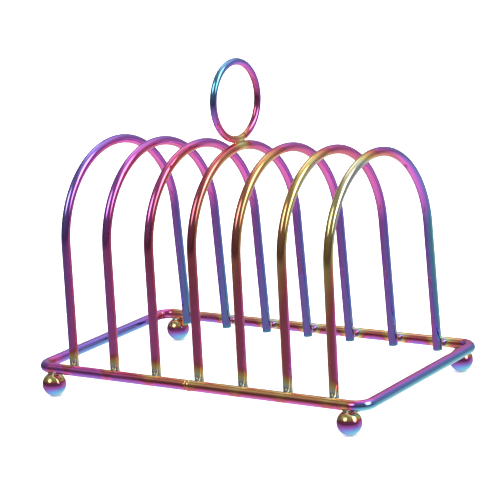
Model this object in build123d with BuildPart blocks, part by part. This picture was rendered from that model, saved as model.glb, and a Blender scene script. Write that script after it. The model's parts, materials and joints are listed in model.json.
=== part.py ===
from build123d import *
import os
from math import cos, radians, sin, tan

# Wire toast rack: seven bent arches welded inside a rectangular base frame on four ball feet,
# with a ring handle on the middle arch. Every joint is a weld, so nothing moves.
# Millimetres. Origin on the table top under the rack's centre, +X along the row of arches,
# -Y to the front, +Z up.

# Base frame: one wire bent to a rounded rectangle, its two ends joined in the front bar.
FRAME_LENGTH = 178.0  # over the outside, along X
FRAME_WIDTH = 102.0  # over the outside, along Y
FRAME_WIRE = 4.9
CORNER_INSIDE_RADIUS = 4.0
SEAM_X = -3.2
SEAM_GAP = 1.2  # width of the weld metal between the two ends
SEAM_UPSET = 0.12  # how far that metal stands proud of the wire

# Arches: identical inverted U shapes, with a slot between each two.
ARCH_COUNT = 7
ARCH_PITCH = 23.2
ARCH_WIRE = 4.3
ARCH_TOP = 112.0  # height of the outside of the bend above the table
LEG_SPLAY = 2.2  # degrees that each leg leans outwards towards its foot
LEG_OVERHANG = 0.3  # how far a leg's cut end shows below the frame wire

# Ring handle, standing on the middle arch and in the same plane.
RING_RADIUS = 17.2  # to the middle of the wire
RING_WIRE = 3.2

# Ball feet, under the long bars.
BALL_DIAMETER = 11.0
BALL_SPACING = 158.0  # between the balls' centres, along X

# Resistance welds: how far two pieces sink into each other, and the metal squeezed out.
WIRE_SINK = 0.3
BALL_SINK = 0.5
LEG_WELD_RADIUS = 2.0
LEG_WELD_DEPTH = 0.9
RING_WELD_RADIUS = 1.3
RING_WELD_DEPTH = 0.8
RING_WELD_ANGLE = 24.0  # degrees of the ring that the bead follows
FOOT_WELD_BOTTOM_RADIUS = 3.1
FOOT_WELD_TOP_RADIUS = 2.0
FOOT_WELD_HEIGHT = 1.6
FOOT_WELD_DROP = 1.0  # from the ball's crown down to the foot of its weld collar

# Radii, and the places that follow from them.
frame_r = FRAME_WIRE / 2
arch_r = ARCH_WIRE / 2
ring_r = RING_WIRE / 2
ball_r = BALL_DIAMETER / 2
frame_z = BALL_DIAMETER - BALL_SINK + frame_r
bar_x = FRAME_LENGTH / 2 - frame_r
bar_y = FRAME_WIDTH / 2 - frame_r
corner_r = CORNER_INSIDE_RADIUS + frame_r

# A leg runs tangent to the bend and touches the inner side of a long bar at the bar's height.
splay = radians(LEG_SPLAY)
foot_y = bar_y - frame_r - arch_r + WIRE_SINK
crest_z = ARCH_TOP - arch_r
bend_r = (foot_y * cos(splay) - (crest_z - frame_z) * sin(splay)) / (1 - sin(splay))
bend_z = crest_z - bend_r
end_z = frame_z - frame_r - LEG_OVERHANG
end_y = foot_y + (frame_z - end_z) * tan(splay)
arch_xs = [ARCH_PITCH * (i - (ARCH_COUNT - 1) / 2) for i in range(ARCH_COUNT)]

ring_z = ARCH_TOP - WIRE_SINK + ring_r + RING_RADIUS
leg_weld_y = bar_y - frame_r + WIRE_SINK / 2
ring_weld_z = ARCH_TOP - WIRE_SINK / 2
foot_weld_z = BALL_DIAMETER - FOOT_WELD_DROP + FOOT_WELD_HEIGHT / 2

os.makedirs("parts", exist_ok=True)


def save(piece, label):
    """Label a finished sub-part and write its STEP file."""
    piece.part.label = label
    export_step(piece.part, f"parts/{label}.step")


# Base frame: a closed outline swept, less the gap that the seam's weld metal fills.
with BuildPart() as base_frame:
    with BuildLine(Plane.XY.offset(frame_z)):
        outline = FilletPolyline(
            (-bar_x, -bar_y),
            (bar_x, -bar_y),
            (bar_x, bar_y),
            (-bar_x, bar_y),
            radius=corner_r,
            close=True,
        )
    with BuildSketch(Plane(origin=outline @ 0, z_dir=outline % 0)):
        Circle(frame_r)
    sweep()
    with Locations((SEAM_X, -bar_y, frame_z)):
        Box(SEAM_GAP, 2 * FRAME_WIRE, 2 * FRAME_WIRE, mode=Mode.SUBTRACT)
save(base_frame, "base_frame")

# Seam weld: the metal between the two wire ends, a disc with a low rounded rim.
with BuildPart() as frame_butt_weld:
    with BuildSketch(Plane.XY.offset(frame_z)):
        with BuildLine():
            near = (SEAM_X - SEAM_GAP / 2, -bar_y)
            far = (SEAM_X + SEAM_GAP / 2, -bar_y)
            near_edge = (near[0], -bar_y - frame_r)
            far_edge = (far[0], -bar_y - frame_r)
            rim_top = (SEAM_X, -bar_y - frame_r - SEAM_UPSET)
            Line(near, near_edge)
            ThreePointArc(near_edge, rim_top, far_edge)
            Line(far_edge, far)
            Line(far, near)
        make_face()
    revolve(axis=Axis((0, -bar_y, frame_z), (1, 0, 0)))
save(frame_butt_weld, "frame_butt_weld")


def build_arch(x):
    """One arch in the plane X = x: leg, semicircular bend, leg, with its ends cut square."""
    with BuildPart() as arch:
        with BuildLine(Plane.YZ.offset(x)):
            bend_y = bend_r * cos(splay)
            shoulder_z = bend_z + bend_r * sin(splay)
            back_leg = Line((end_y, end_z), (bend_y, shoulder_z))
            bend = ThreePointArc(back_leg @ 1, (0, crest_z), (-bend_y, shoulder_z))
            Line(bend @ 1, (-end_y, end_z))
        with BuildSketch(Plane(origin=back_leg @ 0, z_dir=back_leg % 0)):
            Circle(arch_r)
        sweep()
        add(base_frame.part, mode=Mode.SUBTRACT)
    return arch


arches = [build_arch(x) for x in arch_xs]
for number, arch in enumerate(arches, start=1):
    save(arch, f"arch_{number}")
middle_arch = arches[ARCH_COUNT // 2]

# Ring handle: a full circle of wire, seated on the middle arch's crest.
with BuildPart() as ring_handle:
    with BuildSketch(Plane.XZ):
        with Locations((0, ring_z + RING_RADIUS)):
            Circle(ring_r)
    revolve(axis=Axis((0, 0, ring_z), (-1, 0, 0)))
    add(middle_arch.part, mode=Mode.SUBTRACT)
save(ring_handle, "ring_handle")

# Ring weld: a bead on each side of the contact, following the ring over a short arc.
tilt = radians(RING_WELD_ANGLE / 2)
with BuildPart() as ring_weld:
    start = Plane(origin=(0, 0, ring_z), x_dir=(1, 0, 0), z_dir=(0, cos(tilt), -sin(tilt)))
    with BuildSketch(start):
        with Locations((0, ring_z - ring_weld_z)):
            Ellipse(RING_WELD_RADIUS, RING_WELD_DEPTH)
        with Locations((0, RING_RADIUS)):
            Circle(ring_r, mode=Mode.SUBTRACT)
        with Locations((0, ring_z - crest_z)):
            Circle(arch_r, mode=Mode.SUBTRACT)
    revolve(axis=Axis((0, 0, ring_z), (1, 0, 0)), revolution_arc=RING_WELD_ANGLE)
save(ring_weld, "ring_weld")

# Ball feet: each ball takes the shape of the bar where it is welded on.
for side, y in (("front", -bar_y), ("back", bar_y)):
    for end, x in (("left", -BALL_SPACING / 2), ("right", BALL_SPACING / 2)):
        with BuildPart() as foot:
            with Locations((x, y, ball_r)):
                Sphere(ball_r)
            add(base_frame.part, mode=Mode.SUBTRACT)
        save(foot, f"foot_{side}_{end}")

# Foot welds: a tapered collar between each ball and the bar above it.
with BuildPart() as foot_welds:
    with Locations((0, 0, foot_weld_z)):
        with GridLocations(BALL_SPACING, 2 * bar_y, 2, 2):
            Cone(FOOT_WELD_BOTTOM_RADIUS, FOOT_WELD_TOP_RADIUS, FOOT_WELD_HEIGHT)
    with Locations((0, 0, ball_r)):
        with GridLocations(BALL_SPACING, 2 * bar_y, 2, 2):
            Sphere(ball_r, mode=Mode.SUBTRACT)
    add(base_frame.part, mode=Mode.SUBTRACT)
save(foot_welds, "foot_welds")

# Leg welds: a lens of squeezed-out metal round each leg's contact with a long bar.
with BuildPart() as leg_bead:
    with BuildSketch(Plane.XY):
        Ellipse(LEG_WELD_RADIUS, LEG_WELD_DEPTH)
        split(bisect_by=Plane.YZ)
    revolve(axis=Axis.Y)

for side, y in (("front", -leg_weld_y), ("back", leg_weld_y)):
    with BuildPart() as leg_welds:
        with Locations([(x, y, frame_z) for x in arch_xs]):
            add(leg_bead.part)
        add([arch.part for arch in arches], mode=Mode.SUBTRACT)
        add(base_frame.part, mode=Mode.SUBTRACT)
    save(leg_welds, f"{side}_leg_welds")
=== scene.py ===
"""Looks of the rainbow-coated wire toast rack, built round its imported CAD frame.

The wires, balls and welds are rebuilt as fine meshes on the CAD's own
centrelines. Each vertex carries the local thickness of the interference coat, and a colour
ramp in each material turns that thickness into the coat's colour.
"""
import json
import math

import bmesh
import bpy
import numpy as np
from mathutils import Matrix, Vector


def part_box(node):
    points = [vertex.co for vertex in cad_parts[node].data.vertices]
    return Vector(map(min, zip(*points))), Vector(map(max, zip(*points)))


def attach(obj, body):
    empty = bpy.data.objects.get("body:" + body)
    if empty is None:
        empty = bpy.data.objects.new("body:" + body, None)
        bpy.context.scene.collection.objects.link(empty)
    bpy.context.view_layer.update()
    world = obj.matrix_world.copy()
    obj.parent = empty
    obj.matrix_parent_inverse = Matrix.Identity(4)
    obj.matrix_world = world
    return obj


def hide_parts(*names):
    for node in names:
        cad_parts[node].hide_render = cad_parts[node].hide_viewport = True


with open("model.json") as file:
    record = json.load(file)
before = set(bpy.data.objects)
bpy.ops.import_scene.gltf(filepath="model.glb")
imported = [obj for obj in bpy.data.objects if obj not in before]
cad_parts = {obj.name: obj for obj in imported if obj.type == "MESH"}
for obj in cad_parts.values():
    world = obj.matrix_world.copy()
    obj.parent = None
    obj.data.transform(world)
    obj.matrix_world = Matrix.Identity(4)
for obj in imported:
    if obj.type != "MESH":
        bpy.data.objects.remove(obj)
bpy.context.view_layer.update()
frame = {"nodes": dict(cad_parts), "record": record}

MM = 0.001

# ---------------------------------------------------------------- sizes read from the frame

ARCH_NODES = sorted(n for n in frame["nodes"] if n.startswith("arch_"))
FEET = sorted(n for n in frame["nodes"] if n.startswith("foot_") and n != "foot_welds")


def middle(node, axis):
    low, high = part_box(node)
    return (low[axis] + high[axis]) / 2


frame_low, frame_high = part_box("base_frame")
FRAME_R = (frame_high.z - frame_low.z) / 2
FRAME_Z = middle("base_frame", 2)
BAR_X = frame_high.x - FRAME_R
BAR_Y = frame_high.y - FRAME_R
CORNER_R = 4.0 * MM + FRAME_R  # the base wire is bent round 4 mm corners
SEAM_X = middle("frame_butt_weld", 0)
SEAM_HALF = (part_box("frame_butt_weld")[1].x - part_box("frame_butt_weld")[0].x) / 2

ARCH_X = [middle(node, 0) for node in ARCH_NODES]
arch_low, arch_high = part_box(ARCH_NODES[0])
ARCH_R = (arch_high.x - arch_low.x) / 2
CREST_Z = arch_high.z - ARCH_R
SINK = 0.3 * MM  # the depth of a resistance weld between two wires
SPLAY = math.radians(2.2)  # each leg leans out towards its foot
END_Z = FRAME_Z - FRAME_R - 0.3 * MM  # the legs end just under the base wire
FOOT_Y = BAR_Y - FRAME_R - ARCH_R + SINK
# The bend meets both leaning legs without a kink.
BEND_R = (FOOT_Y * math.cos(SPLAY) - (CREST_Z - FRAME_Z) * math.sin(SPLAY)) / (1 - math.sin(SPLAY))
BEND_Z = CREST_Z - BEND_R

ring_low, ring_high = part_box("ring_handle")
RING_WIRE_R = (ring_high.x - ring_low.x) / 2
RING_R = (ring_high.y - ring_low.y) / 2 - RING_WIRE_R
RING_Z = ring_high.z - RING_WIRE_R - RING_R
RING_BOTTOM = Vector((0, 0, RING_Z - RING_R - RING_WIRE_R + SINK / 2))
RING_SEAM = math.radians(13)  # where the ring's two ends meet, up from its lowest point, to the back

BALL_R = (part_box(FEET[0])[1].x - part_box(FEET[0])[0].x) / 2

# Where the leg welds and the ball welds lie.
LEG_CONTACT_Y = BAR_Y - FRAME_R + SINK / 2
LEG_CONTACTS = [(x, side * LEG_CONTACT_Y, FRAME_Z) for side in (-1, 1) for x in ARCH_X]
BALL_CENTRES = {node: (middle(node, 0), middle(node, 1), BALL_R) for node in FEET}
BALL_CONTACTS = [(x, y, FRAME_Z - FRAME_R) for x, y, z in BALL_CENTRES.values()]

# Half-widths of the weld beads, along X and across it.
LEG_BEAD = 1.75 * MM
RING_BEAD_X, RING_BEAD_Y = 1.2 * MM, 4.0 * MM
BALL_BEAD_X, BALL_BEAD_Y = 2.9 * MM, 1.9 * MM
BALL_SINK = 0.5 * MM  # how far each ball's crown lies inside the bar
BALL_BEAD_DROP = 0.25 * MM  # how far the middle of its bead lies under the bar
SEAM_NOTCH = 0.45 * MM  # depth of the groove between the base wire's two ends
SEAM_SWELL = 0.26 * MM  # height of the swell to the right of it

# Mesh fineness: sides round each wire, and steps along each curve.
FRAME_SIDES, ARCH_SIDES, RING_SIDES = 48, 40, 36
CORNER_STEPS, BEND_STEPS, RING_STEPS = 16, 110, 200
BALL_CUTS = 27
STEP = 1.1 * MM  # along straight wire

# ---------------------------------------------------------------- the coat's thickness

# 0 is bare steel and 1 the thickest coat. The colours follow in COAT_COLOURS below.
rng = np.random.default_rng(7)
WAVES = [(rng.normal(size=3) / (34 * MM), rng.uniform(0, 2 * math.pi)) for _ in range(9)]


def drift(points, amount):
    """A slow, smooth change of thickness over a few centimetres, the same for every piece."""
    total = sum(np.sin(points @ k + phase) for k, phase in WAVES)
    return amount * total / math.sqrt(len(WAVES))


def near(points, contacts, reach, power=1.6):
    """0 at a weld, where the heat kept the coat off, rising to 1 a few times reach away."""
    factor = np.ones(len(points))
    for contact in contacts:
        d = np.linalg.norm(points - np.array(contact), axis=1)
        factor *= 1 - np.exp(-((d / reach) ** power))
    return factor


def step_up(value, start, end):
    """0 below start, 1 above end, and smooth between."""
    t = np.clip((value - start) / (end - start), 0, 1)
    return t * t * (3 - 2 * t)


def facing_right(normals):
    """How far each normal points to the viewer's right, from -1 to 1."""
    return 0.82 * normals[:, 0] + 0.57 * normals[:, 1]


def facing_out(normals, y, rise):
    """How far each normal points away from a bend's centre, from -1 to 1."""
    return (normals[:, 1] * y + normals[:, 2] * rise) / np.hypot(y, rise)


# Along X on the front bar: violet fades out between the first two places, and gold comes in
# between the last two.
VIOLET_FULL, VIOLET_END = -86 * MM, -64 * MM
GOLD_START, GOLD_FULL = -56 * MM, -14 * MM


def frame_coat(points, normals):
    """Gold over magenta on the long bars, violet at the left, pink over blue over teal at the
    right. The coat is thinnest on top and thickest underneath."""
    x, y = points[:, 0], points[:, 1]
    nx, nz = normals[:, 0], normals[:, 2]
    right = step_up(x, GOLD_START, GOLD_FULL)
    far_left = 1 - step_up(x, VIOLET_FULL, VIOLET_END)
    past_seam = step_up(x, SEAM_X - 0.2 * MM, SEAM_X + 0.2 * MM)
    front = 0.59 + 0.10 * far_left - 0.11 * right - 0.04 * past_seam - (0.07 + 0.14 * right) * nz
    back = 0.53 - 0.03 * right - 0.22 * nz
    long_bar = np.where(y < 0, front, back)
    right_bar = 0.82 - 0.20 * nz - 0.35 * np.clip(nz - 0.6, 0, 1)
    corner = np.exp(-(((BAR_Y - np.abs(y)) / (14 * MM)) ** 2))
    left_bar = 0.74 - 0.10 * nz - 0.34 * corner * np.clip(nx, 0, 1)
    short_bar = np.where(x > 0, right_bar, left_bar)
    ends = step_up(np.abs(x), 0.90 * BAR_X, 0.98 * BAR_X)
    coat = long_bar * (1 - ends) + short_bar * ends
    front_contacts, back_contacts = LEG_CONTACTS[: len(ARCH_X)], LEG_CONTACTS[len(ARCH_X) :]
    coat = coat * near(points, front_contacts, 4.0 * MM, 3)
    coat = coat * near(points, back_contacts, 5.5 * MM, 3)
    coat = coat * near(points, BALL_CONTACTS, 3.0 * MM)
    return coat * near(points, [(SEAM_X, -BAR_Y, FRAME_Z)], 1.6 * MM) + drift(points, 0.02)


# Thickness from the front foot (0) over the crest (0.5) to the back foot (1), on the violet arch at
# the left end and on the gold one at the right end. The others grade evenly between the two.
STATIONS = (0.0, 0.15, 0.30, 0.44, 0.50, 0.66, 1.0)
LEFT_ARCH = (0.50, 0.55, 0.61, 0.60, 0.58, 0.61, 0.75)
RIGHT_ARCH = (0.46, 0.42, 0.12, 0.04, 0.44, 0.60, 0.67)


def arch_coat(points, normals, along, number):
    """along runs from 0 at the front foot to 1 at the back foot; number from 0 to 6."""
    y, z = points[:, 1], points[:, 2]
    last = number == len(ARCH_X) - 1
    share = number / (len(ARCH_X) - 1)
    left = np.interp(along, STATIONS, LEFT_ARCH)
    right = np.interp(along, STATIONS, RIGHT_ARCH)
    coat = left + (right - left) * share
    if last:
        coat = coat + 0.16 * step_up(along, 0.50, 0.60) * (1 - step_up(along, 0.75, 1.0))
    rise = np.clip(z - BEND_Z, 0, None)
    outward = facing_out(normals, y, rise)
    in_bend = step_up(z, BEND_Z, BEND_Z + 0.3 * BEND_R)
    front_tilt = -0.09 + 0.033 * number
    back_tilt = 0.18 if last else 0.08
    coat = coat + np.where(y < 0, front_tilt, back_tilt) * facing_right(normals) * (1 - in_bend)
    back_spread = 0.20 if last else 0.10
    coat = coat + np.where(y < 0, 0.13 * (outward - 0.3), back_spread * outward) * in_bend
    from_weld = np.linalg.norm(points - np.array(LEG_CONTACTS[number]), axis=1)
    coat = coat * step_up(from_weld, 2.5 * MM, 10.5 * MM)
    coat = coat * near(points, [LEG_CONTACTS[number + len(ARCH_X)]], 2.6 * MM, 2)
    coat = coat + 0.2 * np.exp(-(z - END_Z) / (1.8 * MM)) * (y > 0)
    return coat * near(points, [RING_BOTTOM], 4.6 * MM) + drift(points, 0.02)


# Thickness round the ring, as turns from its lowest point up the back and down the front.
RING_STATIONS = (0.0, 0.10, 0.42, 0.55, 0.66, 0.74, 0.82, 0.92, 1.0)
RING_LEVELS = (0.34, 0.54, 0.58, 0.68, 0.77, 0.62, 0.47, 0.34, 0.34)


def ring_coat(points, normals):
    """Round from the weld: plum up the back, violet at the top, teal at the upper front, then
    pink and salmon down to the weld. The coat is thicker round the outside."""
    rise = points[:, 2] - RING_Z
    turn = np.mod(np.arctan2(points[:, 1], -rise) / (2 * math.pi), 1)
    outward = facing_out(normals, points[:, 1], rise)
    coat = np.interp(turn, RING_STATIONS, RING_LEVELS) + 0.05 * normals[:, 0] + 0.10 * outward
    return coat * near(points, [RING_BOTTOM], 2.8 * MM) + drift(points, 0.015)


def ball_coat(points, normals):
    """Pale at the weld, gold then magenta round the shoulder, lilac to cyan across underneath."""
    down = -normals[:, 2]
    under = step_up(down, -0.10, 0.60)
    shoulder = step_up(down, -0.50, -0.20)
    coat = 0.20 + 0.34 * shoulder + (0.27 + 0.13 * facing_right(normals)) * under
    return coat * near(points, BALL_CONTACTS, 2.8 * MM, 1.8) + drift(points, 0.02)


def weld_coat(points):
    """Almost bare metal, a little uneven."""
    return np.clip(0.04 + drift(points * 6, 0.04), 0, 1)


# ---------------------------------------------------------------- mesh makers


def make_piece(name, points, faces, coat, node):
    """A smooth-shaded mesh with its coat thickness stored per vertex, standing for a CAD node."""
    mesh = bpy.data.meshes.new(name)
    mesh.from_pydata([tuple(p) for p in points], [], faces)
    mesh.update()
    thickness = mesh.attributes.new("coat", "FLOAT", "POINT")
    thickness.data.foreach_set("value", np.clip(coat, 0, 1).astype(np.float32))
    mesh.shade_smooth()
    piece = bpy.data.objects.new(name, mesh)
    bpy.context.scene.collection.objects.link(piece)
    mesh.materials.append(MATERIALS[SLOT_OF[node]])
    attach(piece, "root")
    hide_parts(node)


def grid_faces(rows, columns):
    """Quads over a grid of vertices whose columns wrap round."""
    faces = []
    for i in range(rows - 1):
        a, b = i * columns, (i + 1) * columns
        for j in range(columns):
            k = (j + 1) % columns
            faces.append((a + j, a + k, b + k, b + j))
    return faces


def end_caps(rows, columns):
    """The faces that close the first and last row of a grid, wound to match its quads."""
    last_row = (rows - 1) * columns
    return [tuple(reversed(range(columns))), tuple(range(last_row, last_row + columns))]


def tube(path, radius, side, segments):
    """A wire swept along a planar path whose plane has the normal side. Its ends are cut square
    with a slightly broken edge. Returns points, faces, outward normals and share of the length."""
    path = np.array(path)
    side = np.array(side, float)
    tangent = np.gradient(path, axis=0)
    tangent /= np.linalg.norm(tangent, axis=1)[:, None]
    across = np.cross(tangent, side)
    steps = np.linalg.norm(np.diff(path, axis=0), axis=1)
    share = np.concatenate([[0], np.cumsum(steps)]) / steps.sum()
    turn = np.arange(segments) * 2 * math.pi / segments
    ring = np.cos(turn)[None, :, None] * side + np.sin(turn)[None, :, None] * across[:, None, :]
    points = path[:, None, :] + radius * ring
    normals = ring.copy()
    share = np.repeat(share[:, None], segments, 1)
    points, normals, share = add_cut_ends(path, tangent, ring, radius, points, normals, share)
    faces = grid_faces(len(points), segments) + end_caps(len(points), segments)
    return points.reshape(-1, 3), faces, normals.reshape(-1, 3), share.reshape(-1)


def add_cut_ends(path, tangent, ring, radius, points, normals, share):
    """Rows that round off the edge of each square-cut end and close most of its face."""
    edge = 0.22 * MM
    heads, head_normals, tails, tail_normals = [], [], [], []
    for turn in np.linspace(0, math.pi / 2, 5):
        inset = radius - edge + edge * math.cos(turn)
        reach = edge * math.sin(turn) - edge
        for rows, norms, i, sign in ((heads, head_normals, 0, -1), (tails, tail_normals, -1, 1)):
            rows.append(path[i] + sign * reach * tangent[i] + inset * ring[i])
            norms.append(math.cos(turn) * ring[i] + math.sin(turn) * sign * tangent[i])
    for inset in (0.7, 0.4, 0.12):
        for rows, norms, i, sign in ((heads, head_normals, 0, -1), (tails, tail_normals, -1, 1)):
            rows.append(path[i] + inset * radius * ring[i])
            norms.append(np.repeat((sign * tangent[i])[None, :], ring.shape[1], 0))
    body, body_normals = points[1:-1], normals[1:-1]
    points = np.concatenate([heads[::-1], body, tails])
    normals = np.concatenate([head_normals[::-1], body_normals, tail_normals])
    head_share = np.repeat(share[:1], len(heads), 0)
    tail_share = np.repeat(share[-1:], len(tails), 0)
    return points, normals, np.concatenate([head_share, share[1:-1], tail_share])


def line(start, end, step):
    """Points from start up to, but not including, end."""
    start, end = np.array(start, float), np.array(end, float)
    count = max(2, round(np.linalg.norm(end - start) / step))
    return [start + (end - start) * i / count for i in range(count)]


def arc(centre, u, v, radius, start, end, count):
    """Points on a circle from start up to, but not including, end, both in radians."""
    centre, u, v = np.array(centre, float), np.array(u, float), np.array(v, float)
    turns = (start + (end - start) * i / count for i in range(count))
    return [centre + radius * (math.cos(t) * u + math.sin(t) * v) for t in turns]


def frame_path():
    """The base wire's centreline, from one side of its seam round to the other."""
    x_axis, y_axis = (1, 0, 0), (0, 1, 0)
    quarter = math.pi / 2
    inner_x, inner_y = BAR_X - CORNER_R, BAR_Y - CORNER_R
    seam_left = np.array((SEAM_X - SEAM_HALF, -BAR_Y, FRAME_Z))
    # Each corner's bend centre and the quarter turn at which it starts.
    corners = (
        (inner_x, -inner_y, -1),
        (inner_x, inner_y, 0),
        (-inner_x, inner_y, 1),
        (-inner_x, -inner_y, 2),
    )
    path = []
    here = np.array((SEAM_X + SEAM_HALF, -BAR_Y, FRAME_Z))
    for x, y, turns in corners:
        centre, start = (x, y, FRAME_Z), turns * quarter
        bend = arc(centre, x_axis, y_axis, CORNER_R, start, start + quarter, CORNER_STEPS)
        path += line(here, bend[0], STEP) + bend
        # The far end of the bend, which the arc leaves out.
        here = arc(centre, x_axis, y_axis, CORNER_R, start + quarter, start, 1)[0]
    return path + line(here, seam_left, STEP) + [seam_left]


def arch_path(x):
    """Front leg up, over the bend and down the back leg."""
    shoulder_y = BEND_R * math.cos(SPLAY)
    shoulder_z = BEND_Z + BEND_R * math.sin(SPLAY)
    end_y = FOOT_Y + (FRAME_Z - END_Z) * math.tan(SPLAY)
    path = line((x, -end_y, END_Z), (x, -shoulder_y, shoulder_z), STEP)
    path += arc((x, 0, BEND_Z), (0, 1, 0), (0, 0, 1), BEND_R, math.pi - SPLAY, SPLAY, BEND_STEPS)
    path += line((x, shoulder_y, shoulder_z), (x, end_y, END_Z), STEP)
    return path + [np.array((x, end_y, END_Z))]


def ring_path():
    """Once round the ring, starting and ending at its seam, behind the weld."""
    gap = 0.25 * MM / RING_R
    start = -math.pi / 2 + RING_SEAM + gap
    end = start + 2 * math.pi - 2 * gap
    path = arc((0, 0, RING_Z), (0, 1, 0), (0, 0, 1), RING_R, start, end, RING_STEPS)
    return path + arc((0, 0, RING_Z), (0, 1, 0), (0, 0, 1), RING_R, end, start, 1)


def weld_fillet(centre, u, v, n, low, high, radius_u, radius_v, waist, seed):
    """A hollow-sided bead between two curved surfaces that touch at centre. low(a, b) and
    high(a, b) give each surface's height along n over the touching plane's axes u and v."""
    wobble = np.random.default_rng(seed)
    phases = wobble.uniform(0, 2 * math.pi, 3)
    around, across = 40, 9
    centre, u, v, n = (np.array(q, float) for q in (centre, u, v, n))
    points = []
    for i in range(around):
        turn = 2 * math.pi * i / around
        rough = 1 + 0.05 * sum(math.sin((k + 2) * turn + phases[k]) for k in range(3))
        a, b = radius_u * rough * math.cos(turn), radius_v * rough * math.sin(turn)
        top, bottom = high(a, b), low(a, b)
        for j in range(across):
            t = j / (across - 1)
            inset = 1 - 2 * (1 - waist) * t * (1 - t) * (1 + 0.15 * math.sin(3 * turn + phases[0]))
            height = bottom * (1 - t) ** 2 + 2 * t * (1 - t) * (bottom + top) / 2 + top * t**2
            points.append(centre + u * a * inset + v * b * inset + n * height)
    faces = []
    for i in range(around):
        k = (i + 1) % around
        for j in range(across - 1):
            faces.append((i * across + j, k * across + j, k * across + j + 1, i * across + j + 1))
    low_hub, high_hub = len(points), len(points) + 1
    points.append(centre - n * 0.25 * MM)
    points.append(centre + n * 0.25 * MM)
    for i in range(around):
        k = (i + 1) % around
        faces.append((low_hub, k * across, i * across))
        faces.append((high_hub, (i + 1) * across - 1, (k + 1) * across - 1))
    return np.array(points), faces


def joined(parts):
    """Several (points, faces) lists as one."""
    points, faces = [], []
    for some_points, some_faces in parts:
        faces += [tuple(i + len(points) for i in face) for face in some_faces]
        points += list(some_points)
    return np.array(points), faces


def quad_sphere(centre, radius, cuts):
    """A sphere of even quads: a subdivided cube pushed out to the radius."""
    ball = bmesh.new()
    bmesh.ops.create_cube(ball, size=2)
    bmesh.ops.subdivide_edges(ball, edges=ball.edges[:], cuts=cuts, use_grid_fill=True)
    for vert in ball.verts:
        x, y, z = vert.co
        spread = (
            x * math.sqrt(1 - y * y / 2 - z * z / 2 + y * y * z * z / 3),
            y * math.sqrt(1 - z * z / 2 - x * x / 2 + z * z * x * x / 3),
            z * math.sqrt(1 - x * x / 2 - y * y / 2 + x * x * y * y / 3),
        )
        vert.co = Vector(spread)
    points = np.array([vert.co for vert in ball.verts]) * radius + np.array(centre)
    faces = [tuple(vert.index for vert in face.verts) for face in ball.faces]
    ball.free()
    return points, faces


# ---------------------------------------------------------------- materials

# Interference colours of the coat over polished steel, from bare metal to the thickest.
COAT_COLOURS = (
    (0.00, (0.48, 0.56, 0.60)),
    (0.08, (0.74, 0.74, 0.56)),
    (0.17, (0.82, 0.70, 0.27)),
    (0.26, (0.83, 0.50, 0.19)),
    (0.34, (0.78, 0.31, 0.19)),
    (0.41, (0.68, 0.16, 0.18)),
    (0.47, (0.70, 0.14, 0.30)),
    (0.53, (0.86, 0.19, 0.63)),
    (0.60, (0.55, 0.18, 0.76)),
    (0.68, (0.35, 0.26, 0.88)),
    (0.76, (0.22, 0.38, 0.86)),
    (0.86, (0.18, 0.55, 0.74)),
    (1.00, (0.40, 0.80, 0.86)),
)


BLOTCH = 0.05  # how far the thickness wanders within a few millimetres


def coated_steel(name, roughness, ripple, grain):
    """Polished steel under the coat. ripple is the height of the wire's slow unevenness, and
    grain is the size of the drawing marks that vary its gloss."""
    material = bpy.data.materials.new(name)
    material.use_nodes = True
    nodes, links = material.node_tree.nodes, material.node_tree.links
    shader = nodes["Principled BSDF"]
    shader.inputs["Metallic"].default_value = 1.0

    thickness = nodes.new("ShaderNodeAttribute")
    thickness.attribute_name = "coat"
    place = nodes.new("ShaderNodeTexCoord")

    blotch = nodes.new("ShaderNodeTexNoise")
    blotch.inputs["Scale"].default_value = 140
    blotch.inputs["Detail"].default_value = 3
    links.new(place.outputs["Object"], blotch.inputs["Vector"])
    shift = nodes.new("ShaderNodeMath")
    shift.operation = "MULTIPLY_ADD"
    shift.inputs[1].default_value = BLOTCH
    shift.inputs[2].default_value = -BLOTCH / 2
    links.new(blotch.outputs["Fac"], shift.inputs[0])
    total = nodes.new("ShaderNodeMath")
    total.operation = "ADD"
    links.new(thickness.outputs["Fac"], total.inputs[0])
    links.new(shift.outputs[0], total.inputs[1])

    ramp = nodes.new("ShaderNodeValToRGB")
    stops = ramp.color_ramp.elements
    while len(stops) < len(COAT_COLOURS):
        stops.new(0.5)
    for stop, (position, colour) in zip(stops, COAT_COLOURS):
        stop.position = position
        stop.color = (*colour, 1)
    links.new(total.outputs[0], ramp.inputs["Fac"])
    links.new(ramp.outputs["Color"], shader.inputs["Base Color"])

    marks = nodes.new("ShaderNodeTexNoise")
    marks.inputs["Scale"].default_value = 1 / grain
    marks.inputs["Detail"].default_value = 4
    links.new(place.outputs["Object"], marks.inputs["Vector"])
    gloss = nodes.new("ShaderNodeMapRange")
    gloss.inputs["To Min"].default_value = roughness * 0.6
    gloss.inputs["To Max"].default_value = roughness * 1.4
    links.new(marks.outputs["Fac"], gloss.inputs["Value"])
    links.new(gloss.outputs["Result"], shader.inputs["Roughness"])

    swell = nodes.new("ShaderNodeTexNoise")
    swell.inputs["Scale"].default_value = 110
    swell.inputs["Detail"].default_value = 1
    links.new(place.outputs["Object"], swell.inputs["Vector"])
    bump = nodes.new("ShaderNodeBump")
    bump.inputs["Strength"].default_value = 1.0
    bump.inputs["Distance"].default_value = ripple
    links.new(swell.outputs["Fac"], bump.inputs["Height"])
    links.new(bump.outputs["Normal"], shader.inputs["Normal"])
    return material


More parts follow.
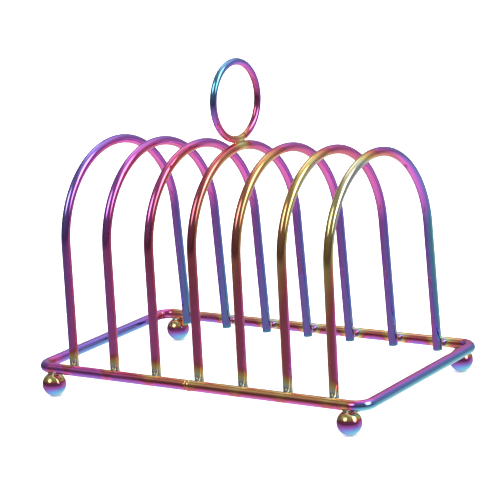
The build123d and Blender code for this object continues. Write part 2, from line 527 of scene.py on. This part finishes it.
MATERIALS = {
    "base_wire": coated_steel("coated_base_wire", 0.07, 0.10 * MM, 1.4 * MM),
    "arch_wire": coated_steel("coated_arch_wire", 0.07, 0.08 * MM, 1.2 * MM),
    "ring_wire": coated_steel("coated_ring_wire", 0.08, 0.06 * MM, 1.0 * MM),
    "ball_foot": coated_steel("coated_ball", 0.05, 0.04 * MM, 2.0 * MM),
    "weld_metal": coated_steel("thinly_coated_weld", 0.16, 0.25 * MM, 0.5 * MM),
}
SLOT_OF = {part["node"]: part["material_slot"] for part in frame["record"]["subparts"]}

# ---------------------------------------------------------------- the rack

points, faces, normals, _ = tube(frame_path(), FRAME_R, (0, 0, 1), FRAME_SIDES)
make_piece("base_wire", points, faces, frame_coat(points, normals), "base_frame")

for number, node in enumerate(ARCH_NODES):
    points, faces, normals, share = tube(arch_path(ARCH_X[number]), ARCH_R, (1, 0, 0), ARCH_SIDES)
    coat = arch_coat(points, normals, share, number)
    make_piece(f"arch_wire_{number + 1}", points, faces, coat, node)

points, faces, normals, _ = tube(ring_path(), RING_WIRE_R, (1, 0, 0), RING_SIDES)
make_piece("ring_wire", points, faces, ring_coat(points, normals), "ring_handle")

for node, centre in BALL_CENTRES.items():
    points, faces = quad_sphere(centre, BALL_R, BALL_CUTS)
    normals = (points - np.array(centre)) / BALL_R
    # The crown is pressed flat where it sinks into the bar.
    bar_under = FRAME_Z - np.sqrt(np.clip(FRAME_R**2 - (points[:, 1] - centre[1]) ** 2, 0, None))
    over = (points[:, 2] > bar_under) & (np.abs(points[:, 1] - centre[1]) < FRAME_R)
    points[over, 2] = bar_under[over]
    make_piece(f"ball_{node}", points, faces, ball_coat(points, normals), node)


def bulge(radius, offset):
    """Half the height of a circle at an offset from its centre."""
    return math.sqrt(max(radius**2 - offset**2, 0))


for side, node in ((-1, "front_leg_welds"), (1, "back_leg_welds")):
    beads = []
    for number, x in enumerate(ARCH_X):
        beads.append(weld_fillet(
            (x, side * LEG_CONTACT_Y, FRAME_Z), (1, 0, 0), (0, 0, -side), (0, side, 0),
            lambda a, b: -(ARCH_R - SINK / 2) + bulge(ARCH_R, a),
            lambda a, b: (FRAME_R - SINK / 2) - bulge(FRAME_R, b),
            LEG_BEAD, LEG_BEAD, 0.72, 11 * number + side + 1))
    points, faces = joined(beads)
    make_piece(f"beads_{node}", points, faces, weld_coat(points), node)

points, faces = weld_fillet(
    RING_BOTTOM, (1, 0, 0), (0, 1, 0), (0, 0, 1),
    lambda a, b: bulge(BEND_R + bulge(ARCH_R, a), b) - BEND_R - ARCH_R + SINK / 2,
    lambda a, b: RING_R + RING_WIRE_R - SINK / 2 - bulge(RING_R + bulge(RING_WIRE_R, a), b),
    RING_BEAD_X, RING_BEAD_Y, 0.8, 5)
make_piece("bead_ring_weld", points, faces, weld_coat(points) + 0.20, "ring_weld")

beads = []
for number, (x, y, z) in enumerate(BALL_CONTACTS):
    beads.append(weld_fillet(
        (x, y, z - BALL_BEAD_DROP), (1, 0, 0), (0, 1, 0), (0, 0, 1),
        lambda a, b: bulge(BALL_R, math.hypot(a, b)) - BALL_R + BALL_SINK + BALL_BEAD_DROP,
        lambda a, b: FRAME_R + BALL_BEAD_DROP - bulge(FRAME_R, b),
        BALL_BEAD_X, BALL_BEAD_Y, 0.85, 31 + number))
points, faces = joined(beads)
make_piece("beads_foot_welds", points, faces, weld_coat(points), "foot_welds")


def seam_bead():
    """The seam in the base wire: a notch between the two ends and a swell over the right-hand
    one. Returns points, faces and outward normals."""
    rows, around = 25, 48
    low, high = -SEAM_HALF - 0.15 * MM, SEAM_HALF + 1.2 * MM
    points = []
    for i in range(rows):
        offset = low + (high - low) * i / (rows - 1)
        notch = SEAM_NOTCH * math.exp(-(((offset + 0.30 * MM) / (0.16 * MM)) ** 2))
        swell = SEAM_SWELL * math.sin(math.pi * min(1, max(0, offset / high)))
        for j in range(around):
            turn = 2 * math.pi * j / around
            uneven = 0.03 * MM * math.sin(3 * turn + 1) - 0.02 * MM
            r = FRAME_R + swell - notch + uneven
            y, z = r * math.cos(turn), r * math.sin(turn)
            points.append((SEAM_X + offset, y - BAR_Y, z + FRAME_Z))
    points = np.array(points)
    faces = grid_faces(rows, around) + end_caps(rows, around)
    normals = (points - np.array((SEAM_X, -BAR_Y, FRAME_Z))) * (0, 1, 1) / FRAME_R
    return points, faces, normals


points, faces, normals = seam_bead()
# The coat is read 3 mm outside the wire, where the seam thins it less, and then reduced evenly.
coat = 0.6 * frame_coat(points + normals * 3 * MM, normals) + 0.05
make_piece("bead_frame_seam", points, faces, coat, "frame_butt_weld")

# ---------------------------------------------------------------- floor, light and camera


def stage_floor():
    """A plain white table top. The steel mirrors the light tent instead of it."""
    bpy.ops.mesh.primitive_plane_add(size=8)
    floor = bpy.context.object
    floor.name = "floor"
    material = bpy.data.materials.new("floor_white")
    material.use_nodes = True
    nodes, links = material.node_tree.nodes, material.node_tree.links
    shader = nodes["Principled BSDF"]
    shader.inputs["Base Color"].default_value = (0.95, 0.95, 0.95, 1)
    shader.inputs["Roughness"].default_value = 0.9
    unseen = nodes.new("ShaderNodeBsdfTransparent")
    path = nodes.new("ShaderNodeLightPath")
    mix = nodes.new("ShaderNodeMixShader")
    links.new(path.outputs["Is Glossy Ray"], mix.inputs["Fac"])
    links.new(shader.outputs["BSDF"], mix.inputs[1])
    links.new(unseen.outputs["BSDF"], mix.inputs[2])
    links.new(mix.outputs["Shader"], nodes["Material Output"].inputs["Surface"])
    floor.data.materials.append(material)


# What the steel mirrors: a white table below, dark at eye level and a dim ceiling above. The
# brightness changes evenly with height between the three.
TABLE_GLOW, EYE_GLOW, CEILING_GLOW = 1.0, 0.08, 0.30
ROOM_WHITE = 3.0  # what everything but the steel's reflections sees
EYE_HEIGHT = -0.04  # as the upward part of a unit direction
# Glowing patches of the tent: azimuth, elevation, half-width of the even middle and of the soft
# edge, all in degrees, then strength.
TENT_PANELS = (
    (90, 25, 5, 20, 3.5),  # right, low
    (100, 45, 5, 20, 3.5),  # right, high
    (345, 40, 5, 18, 3.5),  # front left
    (230, 60, 5, 20, 0.9),  # back left, high
    (150, 65, 10, 45, 0.5),  # overhead, a little behind
    (180, 0, 30, 90, 0.25),  # the pale wall behind
)


def studio_world():
    """White all round, except in the steel's reflections, which see the light tent."""
    world = bpy.data.worlds.new("studio")
    bpy.context.scene.world = world
    world.use_nodes = True
    nodes, links = world.node_tree.nodes, world.node_tree.links
    white = nodes["Background"]
    white.inputs["Color"].default_value = (1, 1, 1, 1)
    white.inputs["Strength"].default_value = ROOM_WHITE
    place = nodes.new("ShaderNodeTexCoord")
    split = nodes.new("ShaderNodeSeparateXYZ")
    links.new(place.outputs["Generated"], split.inputs[0])
    share = nodes.new("ShaderNodeMapRange")
    share.inputs["From Min"].default_value = -1
    links.new(split.outputs["Z"], share.inputs["Value"])
    height = nodes.new("ShaderNodeValToRGB")
    stops = height.color_ramp.elements
    stops.new(0.5)
    levels = ((-1, TABLE_GLOW), (EYE_HEIGHT, EYE_GLOW), (1, CEILING_GLOW))
    for stop, (z, level) in zip(stops, levels):
        stop.position = (1 + z) / 2
        stop.color = (level, level, level, 1)
    links.new(share.outputs["Result"], height.inputs["Fac"])
    total = height.outputs["Color"]
    for azimuth, elevation, core, edge, strength in TENT_PANELS:
        turn = nodes.new("ShaderNodeVectorMath")
        turn.operation = "DOT_PRODUCT"
        turn.inputs[1].default_value = direction(azimuth, elevation)
        links.new(place.outputs["Generated"], turn.inputs[0])
        panel = nodes.new("ShaderNodeMapRange")
        panel.interpolation_type = "SMOOTHSTEP"
        panel.inputs["From Min"].default_value = math.cos(math.radians(edge))
        panel.inputs["From Max"].default_value = math.cos(math.radians(core))
        panel.inputs["To Max"].default_value = strength
        links.new(turn.outputs["Value"], panel.inputs["Value"])
        add = nodes.new("ShaderNodeVectorMath")
        links.new(total, add.inputs[0])
        links.new(panel.outputs["Result"], add.inputs[1])
        total = add.outputs["Vector"]
    tent = nodes.new("ShaderNodeBackground")
    links.new(total, tent.inputs["Color"])
    path = nodes.new("ShaderNodeLightPath")
    mix = nodes.new("ShaderNodeMixShader")
    links.new(path.outputs["Is Glossy Ray"], mix.inputs["Fac"])
    links.new(white.outputs["Background"], mix.inputs[1])
    links.new(tent.outputs["Background"], mix.inputs[2])
    links.new(mix.outputs["Shader"], nodes["World Output"].inputs["Surface"])


def direction(azimuth, elevation):
    """Unit vector; azimuth runs from the front (0) to the right (90), both in degrees."""
    a, e = math.radians(azimuth), math.radians(elevation)
    return Vector((math.sin(a) * math.cos(e), -math.cos(a) * math.cos(e), math.sin(e)))


def area_lamp(name, azimuth, elevation, width, height, power):
    """A softbox 1 m away that faces the rack."""
    light = bpy.data.lights.new(name, "AREA")
    light.shape = "RECTANGLE"
    light.size, light.size_y = width, height
    light.energy = power
    lamp = bpy.data.objects.new(name, light)
    bpy.context.scene.collection.objects.link(lamp)
    towards = direction(azimuth, elevation)
    lamp.location = Vector((0, 0, 60 * MM)) + towards
    lamp.rotation_mode = "QUATERNION"
    lamp.rotation_quaternion = towards.to_track_quat("Z", "Y")


def product_camera():
    """Seen from the front right and a little above, with a long lens and a slight tilt."""
    azimuth, elevation, roll = 34.9, 13.3, -4.4
    distance, lens = 0.986, 158.4
    target = Vector((1.5 * MM, 0, CREST_Z - 47.3 * MM))
    camera = bpy.data.objects.new("camera", bpy.data.cameras.new("camera"))
    bpy.context.scene.collection.objects.link(camera)
    camera.data.sensor_width = 36
    camera.data.lens = lens
    back = direction(azimuth, elevation)
    camera.location = target + back * distance
    camera.rotation_mode = "QUATERNION"
    tilt = Matrix.Rotation(math.radians(roll), 3, back)
    facing = (-back).to_track_quat("-Z", "Y").to_matrix()
    camera.rotation_quaternion = (tilt @ facing).to_quaternion()
    bpy.context.scene.camera = camera


stage_floor()
studio_world()
area_lamp("softbox_left", -38, 42, 0.62, 0.40, 0.20)
area_lamp("softbox_right", 104, 42, 0.40, 0.60, 0.24)
product_camera()
bpy.context.scene.view_settings.view_transform = "Standard"
